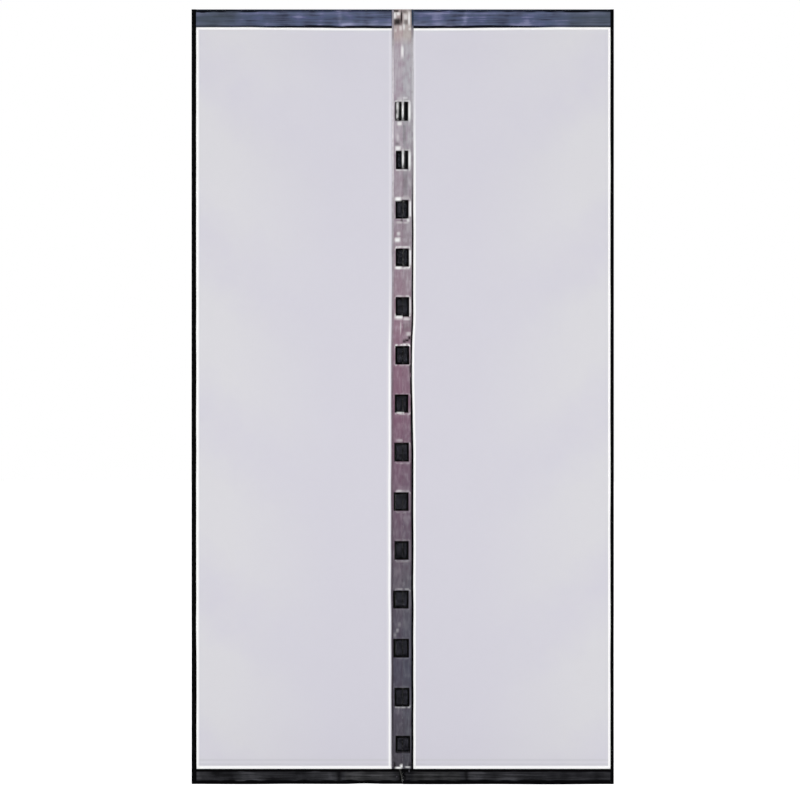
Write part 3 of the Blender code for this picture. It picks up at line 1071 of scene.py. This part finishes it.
SHADE_PATCHES = (
    # painted shade in the crumpled end inside the header
    (-1, 3.5, 22, 2.6, 22, 0.95),
    (-1, 15, 35.5, 11.5, 10.5, 0.92),
    (-1, 20, 5, 10.5, 3.6, 0.9),
    (1, 22, 4, 7, 4, 0.35),
    (1, 10, 36, 7, 8, 0.5),
    (1, 6, 6, 8, 5, 0.45),
    # painted shade: the dark pockets round the first two magnets, and the folds below them
    (-1, 10, 288, 13, 28, 0.75),
    (1, 10.5, 288, 7.5, 28, 0.85),
    (1, 10.5, 425, 7.5, 26, 0.85),
    (-1, 4, 425, 3.5, 26, 0.7),
    (-1, 16, 382, 6, 5, 0.4),
    (1, 4, 333, 4, 5, 0.4),
    (1, 4, 356, 5, 34, 0.28),
    (1, 7, 493, 7, 36, 0.26),
    (-1, 2, 600, 4, 4, 0.6),
    (1, 8, 902, 11, 13, 0.25),
    (1, 20.6, 1010, 3, 32, 0.6),
    (1, 20, 885, 4.5, 24, 0.3),
    (1, 4, 943.5, 5, 4, 0.75),
    (1, 12, 940, 6, 4.5, 0.88),
    (1, 20.5, 934, 6, 6, 0.88),
    # the lap's shadow, inside the right seam tape
    (1, 22.8, 1180, 2.0, 330, 0.5),
    (1, 22.8, 1700, 2.0, 260, 0.16),
    # painted shade on the crumpled foot
    (-1, 24, 2146, 5, 8, 0.6),
    (1, 22, 2148, 6, 6, 0.5),
)


def patches(side, u, z, places):
    """Patches with soft rims: exp of minus (distance / half size) to the fourth, both ways."""
    total = np.zeros(u.shape)
    for patch_side, out, down, half_wide, half_high, strength in places:
        if patch_side == side:
            across = (u - out * MM) / (half_wide * MM)
            upright = (top - z - down * MM) / (half_high * MM)
            total = np.maximum(total, strength * np.exp(-(across**4) - upright**4))
    return total


print(len(HIGHLIGHT_PATCHES), "white and", len(SHADE_PATCHES), "dark patches")

# %% Sleeve shape
# Millimetres out from the closing line, and down from the top, where the sleeve needs small faces
BUSY_OUT = np.array([0, 2.5, 13, 16, 19, 21.5, 24, 27])
BUSY_DOWN = [0, 10, 20, 30, 40, 52, 366, 600, 637, 656, 900, 915, 930, 945, 2150, 2160]


def finer_near(start, end, step, fine_step, places, margin):
    """Places along a side, fine_step apart near the given places and step apart far from them."""
    ruler = np.linspace(start, end, 8001)
    distance = np.abs(ruler[:, None] - np.asarray(places)).min(axis=1)
    local = fine_step + (step - fine_step) * smooth((distance - margin) / margin)
    count = np.concatenate([[0], np.cumsum(np.diff(ruler) / local[1:])])
    return np.interp(np.linspace(0, count[-1], round(count[-1]) + 1), count, ruler)


def sleeve_offset(side, u, z, cover, welds):
    """Half gap of the sleeve's middle surface: pressed at the welds and the lap, out over the
    magnets, slack and wrinkled in between, and crumpled inside the header."""
    loose = smooth((tape_inner - u) / (3 * MM)) * (1 - cover) * (1 - welds)
    crumpled = 1 + 1.6 * smooth((z - header_bottom + 20 * MM) / (30 * MM))
    wrinkles = ripples(u * 1.6, z * 0.55, 17 * MM, seed=41 + side)
    slack = (0.55 + 0.45 * np.clip(wrinkles, -1.2, 1.6)) * MM * loose * crumpled
    return lap_gap + (magnet_gap - lap_gap) * cover + slack


busy_levels = [top - down * MM for down in BUSY_DOWN]
busy_levels += [end for span in magnet_spans for end in span]
for word, side in SIDES:
    levels = finer_near(
        film_bottom, top, step=5 * MM, fine_step=1.2 * MM, places=busy_levels, margin=3 * MM
    )
    turn = across_fold(SLEEVE_CORNER, SLEEVE_CORNER, leaf_steps=0)
    end = SLEEVE_REACH[word] - SLEEVE_CORNER
    leaf_out = turn[-1] + finer_near(
        0, end, step=3 * MM, fine_step=0.75 * MM, places=BUSY_OUT * MM, margin=1.5 * MM
    )
    across = np.concatenate([-leaf_out[:0:-1], turn, leaf_out[1:]])
    z, across = np.meshgrid(levels, across, indexing="ij")
    reach, leaf = fold(across, SLEEVE_CORNER)
    u = SLEEVE_GAP + VINYL / 2 + reach
    u = u + seam_wander(side, z) * smooth((u - 20 * MM) / (9 * MM))
    cover = over_magnets(u, z, POCKET_SPARE, RAMP)
    opening, rim = pocket_opening(side, u, z)
    welds, weld_whites_and_glints, gleams = weld_lines(side, u, z)
    # Weld whites and painted highlights outside the openings, painted gleam inside them, and the
    # painted highlight patches
    weld_whites_and_glints = np.maximum(weld_whites_and_glints * (1 - opening), gleams * opening)
    weld_whites_and_glints = np.maximum(weld_whites_and_glints, patches(side, u, z, HIGHLIGHT_PATCHES))
    # A pocket is clear over its bar and painted black round it, as shade
    see_through = over_magnets(u, z, 0, CLEAR_EASE)
    rim = np.maximum(rim, opening * (1 - see_through))
    shade = np.maximum(rim, patches(side, u, z, SHADE_PATCHES))
    sleeve = sheet(
        f"{word}_vinyl_sleeve",
        side,
        u,
        leaf * sleeve_offset(side, u, z, cover, welds),
        z,
        VINYL,
        strip_material,
        {
            "clear": see_through * opening * (1 - np.maximum(shade, weld_whites_and_glints)),
            "weld_white_and_glints": weld_whites_and_glints,
            "shaded": np.maximum(shade, opening),
        },
    )
    dress(sleeve, "clear_vinyl", f"{word}_magnet_sleeve")

# %% [markdown]
# ## The seam tapes
#
# A narrow woven ribbon covers the lap of film and vinyl on both faces. The left one is painted
# with the sleeve's tint, the view of what lies behind the clear vinyl. The right one has a black
# selvedge that widens on its way down, and above the black its lighter tint is painted glare.

# %% Seam tape material


def ribbon_material(name, stops):
    """Woven ribbon whose colour follows its height, a gradient of painted light, and is black where
    the mesh says so.
    """
    material, tree, surface, place = start_material(name)
    tint = tint_by_height(tree, place, stops)[2]
    faded = add(tree, "TexNoise", {"Vector": place, "Scale": 70.0, "Detail": 3.0})
    fading = add(
        tree,
        "MapRange",
        {"Value": faded.outputs["Fac"], "From Min": 0.4, "From Max": 0.8, "To Max": 0.4},
    )
    sheen_and_wear = add(
        tree,
        "Mix",
        {"Factor": fading.outputs["Result"], "A": tint.outputs["Color"], "B": colour("#8C8088")},
        data_type="RGBA",
        blend_type="MULTIPLY",
    )
    marked_tone = mix_marks(tree, sheen_and_wear.outputs["Result"], {"black": "#020203"})
    threads = add(
        tree,
        "TexWave",
        {"Vector": place, "Scale": WAVE_TURN / (1.5 * MM), "Distortion": 0.4},
        bands_direction="DIAGONAL",
    )
    coat(tree, surface, marked_tone, threads.outputs["Fac"], 0.5, 0.3 * MM, roughness=0.8)
    return material


# Tints by height, painted: on the left the sleeve's painted view, on the right painted glare that
# lightens it towards the top
LEFT_RIBBON = [
    (0.04, "#4E4C54"),
    (0.09, "#312F38"),
    (0.28, "#524A55"),
    (0.42, "#77626F"),
    (0.5, "#7C6875"),
    (0.58, "#988892"),
    (0.7, "#B3ADB4"),
    (0.84, "#F0ECF2"),
    (0.94, "#D6D1D8"),
    (0.965, "#AAA3A7"),
    (1.0, "#9D9AA6"),
]
RIGHT_RIBBON = [
    (0.04, "#403F44"),
    (0.2, "#58565B"),
    (0.4, "#66585F"),
    (0.58, "#7C6B75"),
    (0.7, "#A59BA4"),
    (0.8, "#A9A4AA"),
    (0.9, "#CBC9CF"),
    (0.955, "#C8C4CA"),
    (0.97, "#B2ABB0"),
    (0.981, "#3B4557"),
]
ribbon_materials = {
    "left": ribbon_material("seam_ribbon_painted_view", LEFT_RIBBON),
    "right": ribbon_material("black_seam_ribbon_painted_glare", RIGHT_RIBBON),
}
print("ribbon materials ready")

# %% Seam tape shape
RIBBON_STEP = 5 * MM
RIBBON_CROWN = 0.12 * MM
RIBBON_START = {"left": 26.5 * MM, "right": 24.6 * MM}
# Heights from which the right ribbon's thin and wide black come, and the left one's selvedge
THIN_BLACK_Z, WIDE_BLACK_Z, LEFT_BLACK_Z = -0.34, -0.92, -1.4
ribbon_low, ribbon_high = low_high("right_front_seam_tape", 2)
ribbon_gap = lap_gap + VINYL / 2 + CLEARANCE + SEAM_TAPE / 2


def ribbon_black(word, share, z):
    """How black the ribbon is: on the right a thin outer line from a third of the way down, and
    nearly the whole width from half way; on the left only the very selvedge, low down."""
    if word == "left":
        return 0.45 * smooth((share - 0.7) / 0.2) * smooth((LEFT_BLACK_Z - z) / 0.3)
    thin = 0.97 * smooth((share - 0.17) / 0.13) * smooth((THIN_BLACK_Z - z) / 0.26)
    wide = smooth((share + 0.08) / 0.12) * smooth((WIDE_BLACK_Z - z) / 0.18)
    return np.maximum(thin, wide)


for word, side in SIDES:
    for face, facing in (("front", -1), ("back", 1)):
        length_steps = int((ribbon_high - ribbon_low) / RIBBON_STEP)
        z, share = np.meshgrid(
            np.linspace(ribbon_low, ribbon_high, length_steps), np.linspace(0, 1, 10), indexing="ij"
        )
        u = RIBBON_START[word] + share * (STRIP_EDGE[word] - RIBBON_START[word])
        crown = RIBBON_CROWN * (1 - (2 * share - 1) ** 2)
        ribbon = sheet(
            f"{word}_{face}_seam_ribbon",
            side,
            u + seam_wander(side, z),
            facing * (ribbon_gap + crown),
            z,
            SEAM_TAPE,
            ribbon_materials[word],
            {"black": ribbon_black(word, share, z)},
        )
        dress(ribbon, "seam_ribbon", f"{word}_{face}_seam_tape")

# %% [markdown]
# ## Stitches
#
# Every seam is a row of lockstitch. Each stitch is a short piece of thread that rises out of the
# cloth, lies on it and dives back in. There are thousands, so a stitch has just four rings of four
# points, and a whole row is one array.

# %% Stitch maker
STITCH_PITCH = 4 * MM
STITCH_SHARE = np.array([-0.42, -0.26, 0.26, 0.42])
STITCH_RISE = np.array([-0.1, 0.24, 0.24, -0.1]) * MM
STITCH_RADIUS = np.array([0.14, 0.22, 0.22, 0.14]) * MM
THREAD_SIDES = 4


def stitch_row(centres, heading, facing):
    """Points of a row of stitches: (stitch, ring, corner, xyz). facing is -1 in front, 1 behind."""
    heading = np.asarray(heading, dtype=float)
    outwards = np.array([0.0, facing, 0.0])
    sideways = np.cross(heading, outwards)
    turn = 2 * math.pi * (np.arange(THREAD_SIDES) + 0.5) / THREAD_SIDES
    along = STITCH_PITCH * STITCH_SHARE[:, None, None] * heading
    rise = STITCH_RISE[:, None, None] * outwards
    circle = np.cos(turn)[:, None] * sideways + np.sin(turn)[:, None] * outwards
    thread = along + rise + STITCH_RADIUS[:, None, None] * circle
    return centres[:, None, None, :] + thread


def stitch_mesh(name, rows, material):
    """One piece made of rows of stitches: four-sided tubes with a quad at each end."""
    points = np.concatenate(rows)
    count, rings = points.shape[:2]
    index = np.arange(points[..., 0].size).reshape(count, rings, THREAD_SIDES)
    turned = np.roll(index, -1, axis=2)
    walls = [index[:, :-1], index[:, 1:], turned[:, 1:], turned[:, :-1]]
    walls = np.stack(walls, axis=-1).reshape(-1, 4)
    caps = np.concatenate([index[:, 0], index[:, -1, ::-1]])
    quads = np.concatenate([walls, caps])
    mesh = mesh_of(name, points.reshape(-1, 3), quads)
    mesh.materials.append(material)
    piece = put_in_scene(name, mesh)
    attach(piece, "root")
    print(f"{name}: {count} stitches, {2 * len(quads)} triangles")


def thread_material(name, hex_code):
    """Bonded nylon thread: a fine twist, slightly shiny."""
    material, tree, surface, place = start_material(name)
    twist = add(
        tree,
        "TexWave",
        {"Vector": place, "Scale": WAVE_TURN / (0.5 * MM)},
        bands_direction="DIAGONAL",
    )
    coat(tree, surface, colour(hex_code), twist.outputs["Fac"], 0.3, 0.1 * MM, roughness=0.5)
    return material


navy_thread = thread_material("navy_nylon_thread", "#343A52")
black_thread = thread_material("black_nylon_thread", "#050506")
mauve_thread = thread_material("mauve_nylon_thread", "#9A9098")

# %% Sew the rows
SEAM_INSET = 1.3 * MM
BINDING_INSET = 2.5 * MM
ROW_END = 2 * MM
BINDING_ROW_END = 4 * MM


def steps(start, end):
    """Middles of the stitches that fit between two places."""
    count = int((end - start) / STITCH_PITCH)
    return start + (np.arange(count) + 0.5) * (end - start) / count


def level_row(side, facing, start, end, z_at, offset_at):
    """A row along x, on the face of a cloth whose height and offset follow u."""
    u = steps(start, end)
    centres = np.stack([side * u, mid_y + facing * offset_at(u), z_at(u)], axis=-1)
    return stitch_row(centres, (1, 0, 0), facing)


def upright_row(side, facing, start, end, u_at, offset_at):
    """A row along z, on the face of a tape whose place and offset follow the height."""
    z = steps(start, end)
    centres = np.stack([side * u_at(z), mid_y + facing * offset_at(z), z], axis=-1)
    return stitch_row(centres, (0, 0, 1), facing)


for word, side in SIDES:
    header_stitches = [
        level_row(
            side,
            facing,
            HEADER_START[word] + ROW_END,
            binding_inner,
            lambda u: top - CLOTH / 2 - reach - header_drop(u, reach + 0 * u),
            lambda u: header_offset(u, reach + 0 * u) + CLOTH / 2,
        )
        for facing in (-1, 1)
        for reach in (header_rows if facing < 0 else header_rows[2:])
    ]
    stitch_mesh(f"{word}_header_stitches", header_stitches, navy_thread)

    hem_stitches = [
        level_row(
            side,
            facing,
            hem_inner + ROW_END,
            binding_inner,
            lambda u: bottom + CLOTH / 2 + reach + 0 * u,
            lambda u: hem_offset(u, reach + 0 * u) + CLOTH / 2,
        )
        for facing in (-1, 1)
        for reach in hem_rows
    ]
    stitch_mesh(f"{word}_hem_stitches", hem_stitches, black_thread)

    row_u = half_width - BINDING_REACH[word] + BINDING_INSET
    binding_stitches = [
        upright_row(
            side,
            facing,
            bottom + BINDING_ROW_END,
            top - BINDING_ROW_END,
            lambda z: row_u + 0 * z,
            lambda z: binding_offset(z) + half_leaf,
        )
        for facing in (-1, 1)
    ]
    stitch_mesh(f"{word}_binding_stitches", binding_stitches, black_thread)

    ribbon_stitches = [
        upright_row(
            side,
            facing,
            ribbon_low + ROW_END,
            ribbon_high - ROW_END,
            lambda z: u_row + seam_wander(side, z),
            lambda z: ribbon_gap + SEAM_TAPE / 2 + RIBBON_CROWN / 2 + 0 * z,
        )
        for facing in (-1, 1)
        for u_row in (RIBBON_START[word] + SEAM_INSET, STRIP_EDGE[word] - SEAM_INSET)
    ]
    thread = mauve_thread if side < 0 else black_thread
    stitch_mesh(f"{word}_seam_stitches", ribbon_stitches, thread)

# %% [markdown]
# ## Finishes for the solids that stay
#
# The magnets are sintered ferrite, a dark grey ceramic with a fine grain. The weight bars are
# zinc-plated steel. The two fastening tapes behind the header are a pile of nylon loops and a strip
# of moulded hooks, whose back carries the adhesive.

# %% Ferrite
ferrite, tree, surface, place = start_material("sintered_ferrite")
grain = add(tree, "TexNoise", {"Vector": place, "Scale": 90.0, "Detail": 4.0})
grey = add(
    tree, "ValToRGB", {"Fac": grain.outputs["Fac"]}, stops=[(0.35, "#16161B"), (0.7, "#383840")]
)
grit = grain.outputs["Fac"]
coat(tree, surface, grey.outputs["Color"], grit, 0.2, 0.3 * MM, roughness=0.5, gloss=0.05)
print("ferrite ready")

# %% Zinc plate
zinc, tree, surface, place = start_material("zinc_plated_steel")
brushed = add(tree, "Mapping", {"Vector": place, "Scale": (20, 400, 400)})
streaks = add(tree, "TexNoise", {"Vector": brushed.outputs[0], "Scale": 1.0})
shine = add(tree, "MapRange", {"Value": streaks.outputs["Fac"], "To Min": 0.3, "To Max": 0.5})
fill(tree, surface, {"Base Color": colour("#B4B8BB"), "Roughness": shine.outputs["Result"]})
surface.inputs["Metallic"].default_value = 1.0
print("zinc plate ready")

# %% Loop pile and hook tape
PLAIN_GLOSS = 0.5
loop_pile, tree, surface, place = start_material("nylon_loop_pile")
loops = add(tree, "TexVoronoi", {"Vector": place, "Scale": 700.0})
pile = loops.outputs["Distance"]
coat(tree, surface, colour("#1B1B1E"), pile, 0.9, 0.8 * MM, roughness=0.95, gloss=PLAIN_GLOSS)
surface.inputs["Sheen Weight"].default_value = 0.3

hook_nylon, tree, surface, place = start_material("adhesive_hook_tape")
scrim = [
    add(
        tree,
        "TexWave",
        {"Vector": place, "Scale": WAVE_TURN / (3 * MM)},
        bands_direction=direction,
    )
    for direction in ("X", "Z")
]
crossed = add(
    tree, "Math", {0: scrim[0].outputs["Fac"], 1: scrim[1].outputs["Fac"]}, operation="MAXIMUM"
)
glue = add(
    tree, "ValToRGB", {"Fac": crossed.outputs[0]}, stops=[(0.85, "#26262A"), (0.98, "#3A3A3F")]
)
net = crossed.outputs[0]
coat(tree, surface, glue.outputs["Color"], net, 0.3, 0.2 * MM, roughness=0.35, gloss=PLAIN_GLOSS)
print("fastening tapes ready")

# %% Put them on
FINISHES = {
    "_magnet_": ferrite,
    "_hem_weight": zinc,
    "_loop_tape": loop_pile,
    "hook_tape": hook_nylon,
}
for name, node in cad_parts.items():
    for part, finish in FINISHES.items():
        if part in name and "sleeve" not in name:
            for holder in node.material_slots:
                holder.material = finish
print("solids finished")

# %% [markdown]
# ## The film hangs from the header
#
# Each panel hangs from the header, and the hem, the binding and the stitches are sewn to it.

# %% [markdown]
# ## Stage and light
#
# The backdrop is white and the floor pale, just under the hem. Half of the light comes evenly from
# all round, the rest from a key lamp on the left and a weaker one on the right, both a little
# below the middle, so that a colour renders about as it is written.

# %% Floor
FLOOR_DROP = 15 * MM
FLOOR_HALF = 30.0
WORLD_LEVEL = 0.62
WHITE = (1, 1, 1, 1)


def background_share(tree):
    """1 for a ray that shows the background, straight, mirrored or through vinyl, and 0 for one
    that lights: the highest of three outputs of Light Path."""
    path = add(tree, "LightPath")
    share = path.outputs["Is Camera Ray"]
    for ray in ("Is Glossy Ray", "Is Transmission Ray"):
        most = add(tree, "Math", {0: share, 1: path.outputs[ray]}, operation="MAXIMUM")
        share = most.outputs[0]
    return share


floor_material, tree, surface, place = start_material("pale_studio_floor")
glow = add(tree, "Math", {0: background_share(tree), 1: WORLD_LEVEL}, operation="MULTIPLY")
fill(tree, surface, {"Base Color": colour("#F2F2F2"), "Roughness": 0.9})
fill(tree, surface, {"Emission Color": WHITE, "Emission Strength": glow.outputs[0]})

floor_z = bottom - HEM_WAVE - FLOOR_DROP
corners = np.array([(-1, -1), (1, -1), (1, 1), (-1, 1)]) * FLOOR_HALF
floor_points = np.column_stack([corners, np.full(4, floor_z)])
floor_mesh = mesh_of("Floor", floor_points, np.array([[0, 1, 2, 3]]))
floor_mesh.materials.append(floor_material)
put_in_scene("Floor", floor_mesh)
print(f"floor at z {floor_z:.3f} m")

# %% World and lamps
world = bpy.data.worlds.new("World")
bpy.context.scene.world = world
world.use_nodes = True
tree = world.node_tree
level = add(
    tree, "MapRange", {"Value": background_share(tree), "To Min": WORLD_LEVEL, "To Max": 1.0}
)
fill(tree, tree.nodes["Background"], {"Color": WHITE, "Strength": level.outputs["Result"]})


def lamp(name, place, power, size):
    """A square area lamp aimed at the middle of the curtain."""
    light = bpy.data.lights.new(name, "AREA")
    light.energy = power
    light.size = size
    holder = put_in_scene(name, light)
    holder.location = place
    target = Vector((0, mid_y, (top + bottom) / 2))
    holder.rotation_euler = (target - holder.location).to_track_quat("-Z", "Y").to_euler()


lamp("Key", Vector((-1.9, -6.3, -1.6)), power=105, size=0.9)
lamp("Fill", Vector((3.4, -5.2, -1.4)), power=52, size=1.4)
lamp("Back", Vector((2.4, 5.5, 0.5)), power=110, size=1.2)

# %% View settings
bpy.context.scene.view_settings.view_transform = "Standard"
print("view transform:", bpy.context.scene.view_settings.view_transform)
